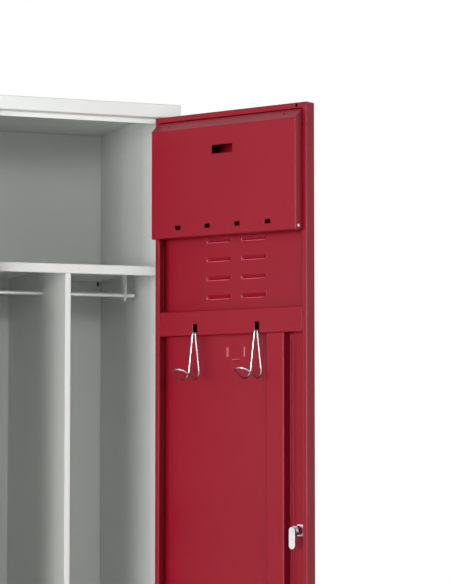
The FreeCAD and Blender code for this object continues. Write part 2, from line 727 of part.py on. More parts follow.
def wire_hook(across):
    """One bent wire: tails behind the rail, legs that spread, and a curl that climbs to its tip."""
    behind = DOOR_THICKNESS - HOOK_TAIL_DEPTH
    legs = DOOR_THICKNESS + WIRE / 2 + 2 * WIRE_GAP
    slot_level = HOOK_SLOT_BOTTOM + WIRE / 2 + WIRE_GAP
    corner_level = slot_level - HOOK_DROP
    tip_level = corner_level + HOOK_REACH * math.tan(math.radians(HOOK_RISE))
    top_half = HOOK_SLOT[0] / 2 - WIRE / 2 - WIRE_GAP
    low_half = HOOK_WIDTH / 2
    tip = legs + HOOK_REACH - WIRE / 2
    one_leg = [
        on_door(across - top_half - HOOK_TAIL, behind, slot_level),
        on_door(across - top_half, behind, slot_level),
        on_door(across - top_half, legs, slot_level),
        on_door(across - low_half, legs, corner_level),
        on_door(across - low_half, tip, tip_level),
    ]
    middle_x = HINGE_EDGE - across
    other_leg = [Vector(2 * middle_x - p.x, p.y, p.z) for p in reversed(one_leg)]
    tip_round = low_half * HOOK_TIP_ROUND
    radii = [HOOK_BEND, HOOK_BEND, HOOK_CURL, tip_round, tip_round, HOOK_CURL, HOOK_BEND, HOOK_BEND]
    middle_line = one_leg[:1]
    for edge in rounded_path(one_leg + other_leg, radii):
        chords = 1 if "Line" in edge.Curve.TypeId else WIRE_BEND_CHORDS
        middle_line += edge.discretize(chords + 1)[1:]
    mitred = 1
    path = Part.makePolygon(middle_line)
    return path.makePipeShell([wire_section(one_leg[0])], True, False, mitred)


def door_stiffener():
    """Hat section on the skin, from the hook rail down to the bottom flange."""
    right = DOOR_WIDTH - STIFFENER_FROM_FREE
    left = right - STIFFENER_WIDTH
    foot = 2 * SHEET
    face = DOOR_THICKNESS - STIFFENER_RECESS
    bottom = DOOR_BOTTOM + DOOR_FLANGE + PANEL_GAP
    section = [
        on_door(right + STIFFENER_FOOT, foot, bottom),
        on_door(right, foot, bottom),
        on_door(right, face, bottom),
        on_door(left, face, bottom),
        on_door(left, foot, bottom),
        on_door(left - STIFFENER_FOOT, foot, bottom),
    ]
    return folded_sheet(section, Vector(0, 0, HOOK_RAIL_BOTTOM - bottom))


def bumper_places():
    """Bumper centres on the free flange, near the door's top and bottom."""
    across = DOOR_WIDTH - (DOOR_FLANGE - SHEET) / 2
    heights = (DOOR_TOP - BUMPER_FROM_END, DOOR_BOTTOM + BUMPER_FROM_END)
    return [on_door(across, DOOR_THICKNESS, height) for height in heights]


def door_bumpers():
    """Rubber buttons that meet the stop lip."""
    head = STOP_GAP - BUMPER_CLEARANCE
    bumpers = []
    for place in bumper_places():
        button = cylinder(BUMPER, head, place, INTO_DOOR)
        stem = cylinder(BUMPER_STEM, 3 * SHEET, place, -INTO_DOOR)
        bumpers.append(button.fuse(stem).removeSplitter())
    return Part.Compound(bumpers)


def pivot_pin():
    """Upper pivot pin: a head under the door's top wall and a shank up through the bush."""
    head = PIN_DIAMETER + 2 * PIN_HEAD_RIM
    under_wall = DOOR_TOP - SHEET
    length = PIN_HEAD + SHEET + TOP_GAP + SHEET + PIN_REACH
    start = Vector(PIVOT.x, PIVOT.y, under_wall - PIN_HEAD)
    shank = cylinder(PIN_DIAMETER, length, start, UP)
    return cylinder(head, PIN_HEAD, start, UP).fuse(shank).removeSplitter()


def lock_barrel():
    """Flanged lock body through the skin, bored for its plug."""
    place = on_door(LOCK_ACROSS, 0, LOCK_HEIGHT)
    body_end = DOOR_THICKNESS - LOCK_BODY_SHORT
    face = cylinder(LOCK_FACE, LOCK_FACE_HEIGHT, place, -INTO_DOOR)
    barrel = face.fuse(cylinder(LOCK_BODY, body_end, place, INTO_DOOR)).removeSplitter()
    start = place - INTO_DOOR * 2 * LOCK_FACE_HEIGHT
    bore = cylinder(LOCK_PLUG + 2 * FIT, 3 * LOCK_FACE_HEIGHT + DOOR_THICKNESS, start, INTO_DOOR)
    return barrel.cut(bore)


def lock_nut():
    """Hexagon nut that clamps the lock body to the skin."""
    place = on_door(LOCK_ACROSS, SHEET, LOCK_HEIGHT)
    radius = LOCK_NUT / 2 / math.cos(math.pi / 6)
    corners = []
    for side in range(7):
        angle = side * math.pi / 3
        corners.append(place + Vector(radius * math.cos(angle), 0, radius * math.sin(angle)))
    hexagon = Part.Face(Part.makePolygon(corners)).extrude(INTO_DOOR * LOCK_NUT_HEIGHT)
    return hexagon.cut(cylinder(LOCK_BODY + 2 * FIT, LOCK_NUT_HEIGHT, place, INTO_DOOR))


def lock_plug():
    """Turning plug with a key slot in its face, long enough to carry the cam."""
    place = on_door(LOCK_ACROSS, -LOCK_FACE_HEIGHT, LOCK_HEIGHT)
    plug = cylinder(LOCK_PLUG, LOCK_FACE_HEIGHT + CAM_FRONT, place, INTO_DOOR)
    width, height, depth = KEY_SLOT
    slot = door_box(
        (LOCK_ACROSS - width / 2, LOCK_ACROSS + width / 2),
        (-2 * LOCK_FACE_HEIGHT, depth - LOCK_FACE_HEIGHT),
        (LOCK_HEIGHT - height / 2, LOCK_HEIGHT + height / 2),
    )
    screw_start = on_door(LOCK_ACROSS, CAM_FRONT, LOCK_HEIGHT)
    screw_hole = cylinder(CAM_SCREW + 2 * FIT, 2 * CAM_SCREW, screw_start, -INTO_DOOR)
    return cut_all(plug, [slot, screw_hole])


def lock_cam():
    """Round-ended cam, pointing down where the lock is open."""
    place = on_door(LOCK_ACROSS, CAM_FRONT, LOCK_HEIGHT)
    half = CAM_WIDTH / 2
    tip = place - UP * (CAM_REACH - half)
    bar = door_box(
        (LOCK_ACROSS - half, LOCK_ACROSS + half),
        (CAM_FRONT, CAM_FRONT + CAM_SHEET),
        (tip.z, LOCK_HEIGHT),
    )
    ends = [cylinder(CAM_WIDTH, CAM_SHEET, point, INTO_DOOR) for point in (place, tip)]
    hole = cylinder(CAM_SCREW + 2 * FIT, CAM_SHEET, place, INTO_DOOR)
    return bar.fuse(ends).removeSplitter().cut(hole)


def cam_screw():
    """Screw that holds the cam on the plug."""
    place = on_door(LOCK_ACROSS, CAM_FRONT + CAM_SHEET, LOCK_HEIGHT)
    length = CAM_SHEET + CAM_SCREW
    return headed_pin(place, -INTO_DOOR, CAM_SCREW_HEAD, CAM_SCREW_HEAD_HEIGHT, CAM_SCREW, length)


def carcass_pieces():
    """Every piece that stays put, by name."""
    return {
        "base_plinth": base_plinth(),
        "floor_pan": floor_pan(),
        "left_side_panel": left_side_panel(),
        "right_side_panel": right_side_panel(),
        "back_panel": back_panel(),
        "roof_panel": roof_panel(),
        "shelf": shelf(),
        "divider": divider(),
        "coat_rail": coat_rail(),
        "left_rail_hanger": left_rail_hanger(),
        "right_rail_hanger": right_rail_hanger(),
        "upper_pivot_bush": upper_pivot_bush(),
        "lower_pivot_bush": lower_pivot_bush(),
    }


def door_pieces():
    """Every piece that swings with the door, by name, as it lies when the door is closed."""
    upper_pin = pivot_pin()
    left_hook, right_hook = [wire_hook(across) for across in hook_places()]
    return {
        "door_skin": door_skin(),
        "upper_tray_panel": upper_tray_panel(),
        "tray_screws": tray_screws(),
        "tray_rivets": tray_rivets(),
        "hook_rail": hook_rail(),
        "door_stiffener": door_stiffener(),
        "door_bumpers": door_bumpers(),
        "upper_pivot_pin": upper_pin,
        "lower_pivot_pin": upper_pin.mirror(Vector(0, 0, MIDDLE), UP),
        "lock_barrel": lock_barrel(),
        "lock_nut": lock_nut(),
        "lock_plug": lock_plug(),
        "lock_cam": lock_cam(),
        "cam_screw": cam_screw(),
        "left_wire_hook": left_hook,
        "right_wire_hook": right_hook,
    }


def main():
    """Build every piece and write one file each."""
    os.makedirs("parts", exist_ok=True)
    pieces = carcass_pieces()
    for name, shape in door_pieces().items():
        pieces[name] = swing_open(shape)
    for name, shape in pieces.items():
        shape.exportStep(f"parts/{name}.step")


main()
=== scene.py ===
"""Looks of a tall steel locker with its red door open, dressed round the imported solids.

Lengths are metres, angles that are fields are degrees, +Z is up and the locker's front faces -Y.
Places on the door are worked out from the frame's joints, so the new pieces lie where the solids
have them.
"""

import json
import logging
import math
from collections.abc import Callable
from dataclasses import dataclass, field
from enum import Enum
from typing import Any

import bpy
import numpy as np
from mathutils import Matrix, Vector


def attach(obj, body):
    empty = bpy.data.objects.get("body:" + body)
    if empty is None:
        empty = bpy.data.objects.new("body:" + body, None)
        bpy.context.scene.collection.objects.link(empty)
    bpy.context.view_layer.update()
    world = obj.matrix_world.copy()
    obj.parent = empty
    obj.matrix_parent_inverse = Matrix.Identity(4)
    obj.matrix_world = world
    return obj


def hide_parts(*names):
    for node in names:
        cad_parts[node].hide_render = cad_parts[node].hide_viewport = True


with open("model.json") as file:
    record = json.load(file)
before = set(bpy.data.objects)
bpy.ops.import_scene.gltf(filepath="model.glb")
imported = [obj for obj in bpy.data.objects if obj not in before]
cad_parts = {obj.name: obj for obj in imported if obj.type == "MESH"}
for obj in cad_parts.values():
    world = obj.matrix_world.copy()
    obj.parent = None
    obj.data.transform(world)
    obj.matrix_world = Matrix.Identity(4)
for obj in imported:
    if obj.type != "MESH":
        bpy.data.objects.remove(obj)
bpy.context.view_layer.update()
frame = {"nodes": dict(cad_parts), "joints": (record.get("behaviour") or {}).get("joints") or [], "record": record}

LOG = logging.getLogger("locker")

Array = np.ndarray
Colour = tuple[float, float, float]
Point = tuple[float, float, float]

UP = np.array([0.0, 0.0, 1.0])
OTHER_HAND = np.array([-1.0, 1.0, 1.0])
EVEN: Point = (1.0, 1.0, 1.0)
WHITE = (1.0, 1.0, 1.0, 1.0)
NOISE_MIDDLE = 0.5
PATCH_FROM = 0.3
PATCH_TO = 0.7
EDGE_SAMPLES = 6


class Grain(Enum):
    """How a bare metal is worked: lumps of its pattern per metre, their detail and their stretch."""

    DRAWN = (60.0, 3.0, (0.4, 40.0, 40.0))
    PLATED = (90.0, 4.0, EVEN)
    ZINC = (420.0, 3.0, EVEN)


class Value:
    """A shader socket whose arithmetic adds Math nodes."""

    def __init__(self, shader: "Shader", socket: bpy.types.NodeSocket | None) -> None:
        """Keep the socket and the shader that its nodes go into."""
        self.shader = shader
        self.socket = socket

    def maths(self, operation: str, first: Any, second: Any) -> "Value":
        """Add one Math node.

        Args:
            operation: The node's operation.
            first: First value or number.
            second: Second value or number.

        Returns:
            The node's result.
        """
        return self.shader.node("ShaderNodeMath", {"operation": operation}, {0: first, 1: second})

    def __add__(self, other: Any) -> "Value":
        """This plus another."""
        return self.maths("ADD", self, other)

    def __radd__(self, other: Any) -> "Value":
        """A number plus this."""
        return self.maths("ADD", other, self)

    def __sub__(self, other: Any) -> "Value":
        """This less another."""
        return self.maths("SUBTRACT", self, other)

    def __rsub__(self, other: Any) -> "Value":
        """A number less this."""
        return self.maths("SUBTRACT", other, self)

    def __mul__(self, other: Any) -> "Value":
        """This times another."""
        return self.maths("MULTIPLY", self, other)

    def __rmul__(self, other: Any) -> "Value":
        """A number times this."""
        return self.maths("MULTIPLY", other, self)

    def larger(self, other: Any) -> "Value":
        """The larger of this and another."""
        return self.maths("MAXIMUM", self, other)

    def around(self, middle: float, spread: float) -> "Value":
        """This noise, moved to a middle value and scaled to a spread."""
        return middle + (self - NOISE_MIDDLE) * spread


class Shader:
    """A node tree that is filled by expressions."""

    def __init__(self, tree: bpy.types.NodeTree) -> None:
        """Start from an empty tree."""
        self.tree = tree
        tree.nodes.clear()

    def node(
        self, kind: str, settings: dict[str, Any], inputs: dict[Any, Any], output: int | str = 0
    ) -> Value:
        """Add any node.

        Args:
            kind: The node's type.
            settings: Properties, set before its sockets. The key "stops" fills a colour ramp.
            inputs: Socket names or numbers with their values or links.
            output: Name or number of the socket to return.

        Returns:
            The chosen output.
        """
        made = self.tree.nodes.new(kind)
        for key, setting in settings.items():
            if key == "stops":
                self.fill_ramp(made.color_ramp, setting)
            else:
                setattr(made, key, setting)
        for key, given in inputs.items():
            if isinstance(given, Value):
                self.tree.links.new(given.socket, made.inputs[key])
            else:
                made.inputs[key].default_value = given
        return Value(self, made.outputs[output] if len(made.outputs) else None)

    @staticmethod
    def fill_ramp(ramp: bpy.types.ColorRamp, stops: list[tuple[float, Colour]]) -> None:
        """Give a colour ramp its two stops.

        Args:
            ramp: The ramp, which has two stops when it is new.
            stops: Places from 0 to 1 with their colours.
        """
        for element, (place, colour) in zip(ramp.elements, stops):
            element.position = place
            element.color = (*colour, 1.0)

    def place(self, stretch: Point = EVEN) -> Value:
        """Object coordinates, stretched along each axis."""
        found = self.node("ShaderNodeTexCoord", {}, {}, "Object")
        return self.node("ShaderNodeMapping", {}, {"Vector": found, "Scale": stretch})

    def noise(self, scale: float, detail: float, stretch: Point = EVEN) -> Value:
        """Cloudy noise from 0 to 1, with scale in lumps per metre."""
        inputs = {"Vector": self.place(stretch), "Scale": scale, "Detail": detail}
        return self.node("ShaderNodeTexNoise", {}, inputs, "Fac")

    def patches(self, pattern: Value, dull: Colour, bright: Colour) -> Value:
        """A colour that goes from dull to bright as a pattern grows."""
        stops = [(PATCH_FROM, dull), (PATCH_TO, bright)]
        return self.node("ShaderNodeValToRGB", {"stops": stops}, {"Fac": pattern})

    def blend(self, factor: Value, first: Any, second: Any) -> Value:
        """A colour between two others."""
        return self.node("ShaderNodeMix", {"data_type": "RGBA"}, {0: factor, 6: first, 7: second}, 2)

    def rounded_edges(self, radius: float) -> Value:
        """Normals that round every edge, with radius in metres."""
        return self.node("ShaderNodeBevel", {"samples": EDGE_SAMPLES}, {"Radius": radius})

    def open_sky(self, reach: float) -> Value:
        """How open a place is, from 0 deep in a fold to 1 on a free face, looking as far as reach; it is the mask
        for painted shade.
        """
        settings = {"samples": EDGE_SAMPLES}
        return self.node("ShaderNodeAmbientOcclusion", settings, {"Distance": reach}, "AO")

    def bump(self, height: Value, distance: float, strength: float, normal: Value) -> Value:
        """A normal that follows a height over another normal, with distance in metres."""
        inputs = {"Height": height, "Distance": distance, "Strength": strength, "Normal": normal}
        return self.node("ShaderNodeBump", {}, inputs)


def surface(
    name: str, linked: Callable[[Shader], dict[str, Value]], fixed: dict[str, float]
) -> bpy.types.Material:
    """Make a material with one Principled shader.

    Args:
        name: The material's name.
        linked: Called with the shader, gives the sockets that vary over the surface.
        fixed: Sockets that are the same all over.

    Returns:
        The material.
    """
    material = bpy.data.materials.new(name)
    material.use_nodes = True
    shader = Shader(material.node_tree)
    skin = shader.node("ShaderNodeBsdfPrincipled", {}, {**fixed, **linked(shader)})
    shader.node("ShaderNodeOutputMaterial", {}, {"Surface": skin})
    return material


@dataclass(frozen=True)
class Paint:
    """Powder coat: a cloudy colour under a fine orange-peel skin, with painted shade in its creases."""

    name: str
    colour: Colour
    dull: Colour
    crease_shade: Colour
    roughness: float
    shine: float
    edge: float = 0.0012
    shade_reach: float = 0.012
    clouds: float = 3.0
    cloud_detail: float = 3.0
    smudges: float = 16.0
    smudge_detail: float = 4.0
    smudge_spread: float = 0.16
    peel: float = 620.0
    peel_detail: float = 2.0
    coarse_scale: float = 0.23
    coarse_detail: float = 1.0
    coarse_share: float = 0.6
    peel_height: float = 0.00006
    peel_strength: float = 0.35

    def sockets(self, shader: Shader) -> dict[str, Value]:
        """Take colour from clouds, darkened by painted shade in creases, roughness from smudges, and a bump from
        the peel.

        Args:
            shader: The material's shader.

        Returns:
            The sockets that vary over the surface.
        """
        flat = shader.patches(shader.noise(self.clouds, self.cloud_detail), self.dull, self.colour)
        # Painted shade: the colour darkens towards the shade colour where ambient occlusion finds a fold or a gap.
        colour = shader.blend(shader.open_sky(self.shade_reach), (*self.crease_shade, 1.0), flat)
        smudges = shader.noise(self.smudges, self.smudge_detail)
        coarse = shader.noise(self.peel * self.coarse_scale, self.coarse_detail)
        peel = shader.noise(self.peel, self.peel_detail) + coarse * self.coarse_share
        rounded = shader.rounded_edges(self.edge)
        return {
            "Base Color": colour,
            "Roughness": smudges.around(self.roughness, self.smudge_spread),
            "Normal": shader.bump(peel, self.peel_height, self.peel_strength, rounded),
        }

    def material(self) -> bpy.types.Material:
        """The finished material."""
        return surface(self.name, self.sockets, {"Specular IOR Level": self.shine})


@dataclass(frozen=True)
class Metal:
    """Bare or plated metal, whose working shows in its colour, its roughness and a slight relief."""

    name: str
    colour: Colour
    dull: Colour
    roughness: float
    grain: Grain
    edge: float = 0.0004
    spread: float = 0.14
    relief: float = 0.00003
    relief_strength: float = 0.25

    def sockets(self, shader: Shader) -> dict[str, Value]:
        """Let colour, roughness and bump follow the grain.

        Args:
            shader: The material's shader.

        Returns:
            The sockets that vary over the surface.
        """
        pattern = shader.noise(*self.grain.value)
        rounded = shader.rounded_edges(self.edge)
        return {
            "Base Color": shader.patches(pattern, self.dull, self.colour),
            "Roughness": pattern.around(self.roughness, self.spread),
            "Normal": shader.bump(pattern, self.relief, self.relief_strength, rounded),
        }

    def material(self) -> bpy.types.Material:
        """The finished material."""
        return surface(self.name, self.sockets, {"Metallic": 1.0})


@dataclass(frozen=True)
class Moulding:
    """Rubber or plastic with a fine dull grain."""

    name: str
    colour: Colour
    dull: Colour
    roughness: float
    shine: float = 0.3
    edge: float = 0.0005
    grain: float = 900.0
    grain_detail: float = 4.0
    spread: float = 0.1
    relief: float = 0.00004
    relief_strength: float = 0.3

    def sockets(self, shader: Shader) -> dict[str, Value]:
        """Let colour, roughness and bump follow one fine grain.

        Args:
            shader: The material's shader.

        Returns:
            The sockets that vary over the surface.
        """
        grain = shader.noise(self.grain, self.grain_detail)
        rounded = shader.rounded_edges(self.edge)
        return {
            "Base Color": shader.patches(grain, self.dull, self.colour),
            "Roughness": grain.around(self.roughness, self.spread),
            "Normal": shader.bump(grain, self.relief, self.relief_strength, rounded),
        }

    def material(self) -> bpy.types.Material:
        """The finished material."""
        return surface(self.name, self.sockets, {"Specular IOR Level": self.shine})


# In each paint the third colour is painted shade, blended in where ambient occlusion finds a fold.
FINISHES: dict[str, Paint | Metal | Moulding] = {
    "carcass_paint": Paint(
        "carcass_grey", (0.73, 0.75, 0.725), (0.71, 0.73, 0.705), (0.68, 0.7, 0.68), 0.42, 0.3),
    "door_paint": Paint(
        "door_red", (0.243, 0.003, 0.015), (0.225, 0.002, 0.013), (0.236, 0.003, 0.014), 0.34, 0.25,
        edge=0.003),
    "rail_steel": Metal("drawn_steel", (0.94, 0.94, 0.93), (0.84, 0.84, 0.83), 0.45, Grain.DRAWN),
    # The wire's colour is tinted pink, a painted reflection of the red door.
    "hook_chrome": Metal("plated_wire", (0.5, 0.45, 0.455), (0.43, 0.385, 0.39), 0.2, Grain.PLATED),
    "lock_chrome": Metal("plated_lock", (0.58, 0.58, 0.6), (0.5, 0.5, 0.52), 0.2, Grain.PLATED),
    "fastener_steel": Metal("zinc_plate", (0.62, 0.62, 0.64), (0.5, 0.5, 0.52), 0.36, Grain.ZINC),
    "bush_plastic": Moulding("bush_plastic", (0.03, 0.03, 0.032), (0.02, 0.02, 0.022), 0.5),
    "bumper_rubber": Moulding("bumper_rubber", (0.21, 0.02, 0.035), (0.17, 0.014, 0.025), 0.6, 0.12),
}

# Painted highlight: the lips along cut edges are painted paler than the door, standing in for the light that
# glints on them; the third colour is painted shade in their folds.
LIP_HIGHLIGHT_PAINT = Paint("highlight_red", (0.66, 0.1, 0.15), (0.56, 0.07, 0.11), (0.5, 0.05, 0.09), 0.3, 0.5)


def unit(vectors: Array) -> Array:
    """Vectors divided by their length along the last axis."""
    return vectors / np.linalg.norm(vectors, axis=-1, keepdims=True)


def round_angles(sides: int) -> Array:
    """Even steps of angle round a full turn, whose end is left out because it meets the start."""
    return np.linspace(0.0, 2 * math.pi, sides, endpoint=False)


def mesh_object(
    name: str, points: Array, faces: list[list[int]], sharp_from: float = 50.0
) -> bpy.types.Object:
    """Put points and faces into the scene as one piece, smooth between its sharp edges.

    Args:
        name: The piece's name.
        points: One row per point.
        faces: The numbers of each face's points.
        sharp_from: Edges that turn by more than this stay sharp.

    Returns:
        The piece.
    """
    mesh = bpy.data.meshes.new(name)
    mesh.from_pydata(points.tolist(), [], faces)
    mesh.shade_smooth()
    mesh.set_sharp_from_angle(angle=math.radians(sharp_from))
    piece = bpy.data.objects.new(name, mesh)
    bpy.context.scene.collection.objects.link(piece)
    return piece


def grid_object(name: str, *grids: Array) -> bpy.types.Object:
    """Skin grids of points that close on themselves across their columns, with flat ends.

    Each face joins a point, the next one round, and the same two in the next row.

    Args:
        name: The piece's name.
        grids: Rows by columns by three, rows along the piece and columns round it.

    Returns:
        The piece, in the scene.
    """
    faces: list[list[int]] = []
    first = 0
    for points in grids:
        rows, columns = points.shape[:2]
        index = first + np.arange(rows * columns).reshape(rows, columns)
        onward = np.roll(index, -1, axis=1)
        quads = np.stack([index[:-1], onward[:-1], onward[1:], index[1:]], axis=-1).reshape(-1, 4)
        faces += quads.tolist() + [index[0, ::-1].tolist(), index[-1].tolist()]
        first += rows * columns
    return mesh_object(name, np.concatenate([points.reshape(-1, 3) for points in grids]), faces)


def rounded_route(corners: Array, radii: Array, steps: int) -> Array:
    """Points along straight runs whose inner corners are arcs.

    Each arc touches both runs. Its points are its centre plus the radius times the cosine of the
    turned angle along the way out to its start, plus the radius times the sine along the way ahead.

    Args:
        corners: The runs' ends, one row each.
        radii: One radius for each inner corner.
        steps: Points on each arc.

    Returns:
        One row per point.
    """
    middle = corners[1:-1]
    back = unit(corners[:-2] - middle)
    onward = unit(corners[2:] - middle)
    half = np.arccos(np.clip(np.sum(back * onward, axis=1), -1.0, 1.0)) / 2
    centre = middle + unit(back + onward) * (radii / np.sin(half))[:, None]
    leave = middle + back * (radii / np.tan(half))[:, None]
    out = unit(leave - centre)
    turn = np.linspace(0.0, 1.0, steps)[None, :] * (math.pi - 2 * half)[:, None]
    arcs = out[:, None, :] * np.cos(turn)[..., None] - back[:, None, :] * np.sin(turn)[..., None]
    arcs = centre[:, None, :] + arcs * radii[:, None, None]
    return np.vstack([corners[:1], arcs.reshape(-1, 3), corners[-1:]])


def tube(route: Array, radius: float, sides: int, aside: Array) -> Array:
    """Carry a circle along a route.

    Each point is the route's point plus the radius times the cosine of the angle along one way
    across the route, plus the radius times its sine along the other.

    Args:
        route: One row per point.
        radius: The tube's radius.
        sides: Points round it.
        aside: A direction that the route never runs along, which fixes the circle's start.

    Returns:
        A grid of points for grid_object.
    """
    ahead = unit(np.gradient(route, axis=0))
    side = unit(np.cross(ahead, aside))
    over = np.cross(ahead, side)
    angle = round_angles(sides)[None, :, None]
    ring = side[:, None, :] * np.cos(angle) + over[:, None, :] * np.sin(angle)
    return route[:, None, :] + radius * ring


def turned(profile: Array, centre: Array, axis: Array, sides: int) -> Array:
    """Turn a profile round an axis.

    Each point is the centre plus the profile's height along the axis, plus its radius times the
    cosine of the angle along one way across the axis and its sine along the other.

    Args:
        profile: Rows of radius and height along the axis.
        centre: Where the height is zero.
        axis: The way that heights grow, which isn't upright.
        sides: Points round the axis.

    Returns:
        A grid of points for grid_object.
    """
    across = unit(np.cross(axis, UP))
    over = np.cross(axis, across)
    angle = round_angles(sides)[None, :, None]
    ring = across * np.cos(angle) + over * np.sin(angle)
    return centre + axis * profile[:, None, 1:] + ring * profile[:, None, :1]


def crowned(radius: float, height: float, steps: int = 9, top: float = 0.03) -> Array:
    """Profile of a low dome: the radius times the sine and the height times the cosine of an angle.

    Args:
        radius: The dome's radius at its foot.
        height: Its height.
        steps: Points from the foot up.
        top: The angle that is left open at the crown, in radians.

    Returns:
        Rows of radius and height for turned.
    """
    angle = np.linspace(math.pi / 2, top, steps)
    return np.stack([radius * np.sin(angle), height * np.cos(angle)], axis=1)


@dataclass
class DoorPlane:
    """Places on the open door: from its hinge edge, from its outer face, and above the floor."""

    lock_from_hinge_edge: float = 0.345
    across: Array = field(init=False)
    inward: Array = field(init=False)
    corner: Array = field(init=False)

    def __post_init__(self) -> None:
        """Read the door's directions from the lock's and a hook's joints."""
        joints = {joint["name"]: joint for joint in frame["joints"]}
        self.inward = np.array(joints["lock_turn"]["axis"], float)
        self.across = -np.array(joints["left_hook_lift"]["axis"], float)
        lock = np.array(joints["lock_turn"]["pos_m"], float)
        self.corner = lock - UP * lock[2] - self.across * self.lock_from_hinge_edge

    def at(self, across: float, inward: float, height: float) -> Array:
        """A point of the door where it stands open."""
        return self.corner + self.across * across + self.inward * inward + UP * height

    def turn(self, local: Array) -> Array:
        """Rows of across, inward and up, as directions of the frame."""
        return local @ np.stack([self.across, self.inward, UP])


class Workshop:
    """Holds the made materials, and dresses and reports each piece."""

    def __init__(self) -> None:
        """Make each finish once."""
        self.materials = {slot: finish.material() for slot, finish in FINISHES.items()}

    def dress_solids(self) -> None:
        """Give every solid node the material of its slot."""
        for entry in frame["record"]["subparts"]:
            mesh = frame["nodes"][entry["node"]].data
            mesh.materials.clear()
            mesh.materials.append(self.materials[entry["material_slot"]])
            LOG.info("dressed %s in %s", entry["node"], entry["material_slot"])

    def fit(
        self, piece: bpy.types.Object, slot: str, body: str, *nodes: str, finish: Paint | None = None
    ) -> None:
        """Finish a new piece.

        Args:
            piece: The piece, in place.
            slot: The material slot it takes its finish from.
            body: The body it moves with.
            nodes: Solid nodes that it stands for.
            finish: A paint of its own, in place of the slot's.
        """
        piece.data.materials.append(finish.material() if finish else self.materials[slot])
        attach(piece, body)
        if nodes:
            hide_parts(*nodes)
        LOG.info("made %s with %d faces", piece.name, len(piece.data.polygons))


@dataclass
class WireHook:
    """A hook bent from one wire: tails behind the rail, spreading legs and a climbing curl."""

    side: str
    door: DoorPlane
    wire: float = 0.004
    over_edge: float = 0.003
    top_half: float = 0.0029
    low_half: float = 0.0165
    tail: float = 0.01
    tail_depth: float = 0.0071
    drop: float = 0.107
    reach: float = 0.055
    rise: float = 31.0
    curl: float = 0.018
    tip_round: float = 0.94
    bend_steps: int = 14
    sides: int = 20
    aside: Point = (-0.7, 0.5, 0.5)

    def pivot(self) -> Array:
        """The point that the hook turns about, on the slot's lower edge."""
        joint = next(j for j in frame["joints"] if j["name"] == f"{self.side}_hook_lift")
        return np.array(joint["pos_m"], float)

    def route(self) -> Array:
        """Lay out one leg's straight runs, add their mirror image and round the bends.

        Returns:
            The wire's middle line, one row per point.
        """
        legs = self.over_edge
        low = self.over_edge - self.drop
        tip = legs + self.reach - self.wire / 2
        tip_height = low + self.reach * math.tan(math.radians(self.rise))
        leg = np.array([
            [-self.top_half - self.tail, -self.tail_depth, self.over_edge],
            [-self.top_half, -self.tail_depth, self.over_edge],
            [-self.top_half, legs, self.over_edge],
            [-self.low_half, legs, low],
            [-self.low_half, tip, tip_height],
        ])
        whole = np.vstack([leg, leg[::-1] * OTHER_HAND])
        bends = np.array([self.over_edge, self.over_edge, self.curl, self.low_half * self.tip_round])
        radii = np.concatenate([bends, bends[::-1]])
        return self.pivot() + self.door.turn(rounded_route(whole, radii, self.bend_steps))

    def build(self, shop: Workshop) -> None:
        """Sweep the wire and put it in the solid hook's place.

        Args:
            shop: Dresses the piece.
        """
        aside = self.door.turn(np.array(self.aside))
        points = tube(self.route(), self.wire / 2, self.sides, aside)
        piece = grid_object(f"{self.side}_hook_wire", points)
        shop.fit(piece, "hook_chrome", f"{self.side}_hook", f"{self.side}_wire_hook")


